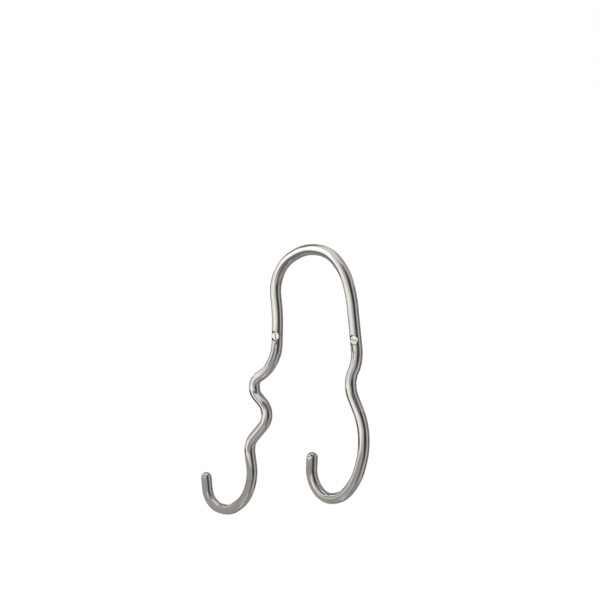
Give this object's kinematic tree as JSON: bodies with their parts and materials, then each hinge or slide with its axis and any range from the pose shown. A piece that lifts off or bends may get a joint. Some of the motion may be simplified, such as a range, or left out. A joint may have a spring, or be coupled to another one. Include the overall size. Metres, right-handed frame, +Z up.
{
  "type": "double hook",
  "caption": "Bent rod wall hook: an arch over wavy legs that each end in an upturned hook, with a countersunk screw hole through each leg.",
  "frame": {"origin": "midway between the two screw holes, on the rod's middle plane; the wall's face is 4 mm behind it at Y = +0.004", "axes": "+X to the right seen from the front, +Y into the wall, +Z up; the screws go in along +Y and the whole rod lies in the XZ plane"},
  "size_m": [0.1503, 0.008, 0.2006],
  "materials": {
    "brushed_steel": "satin, lightly brushed along the rod"
  },
  "bodies": {
    "root": {"hook_rod": "brushed_steel"}
  },
  "joints": []
}
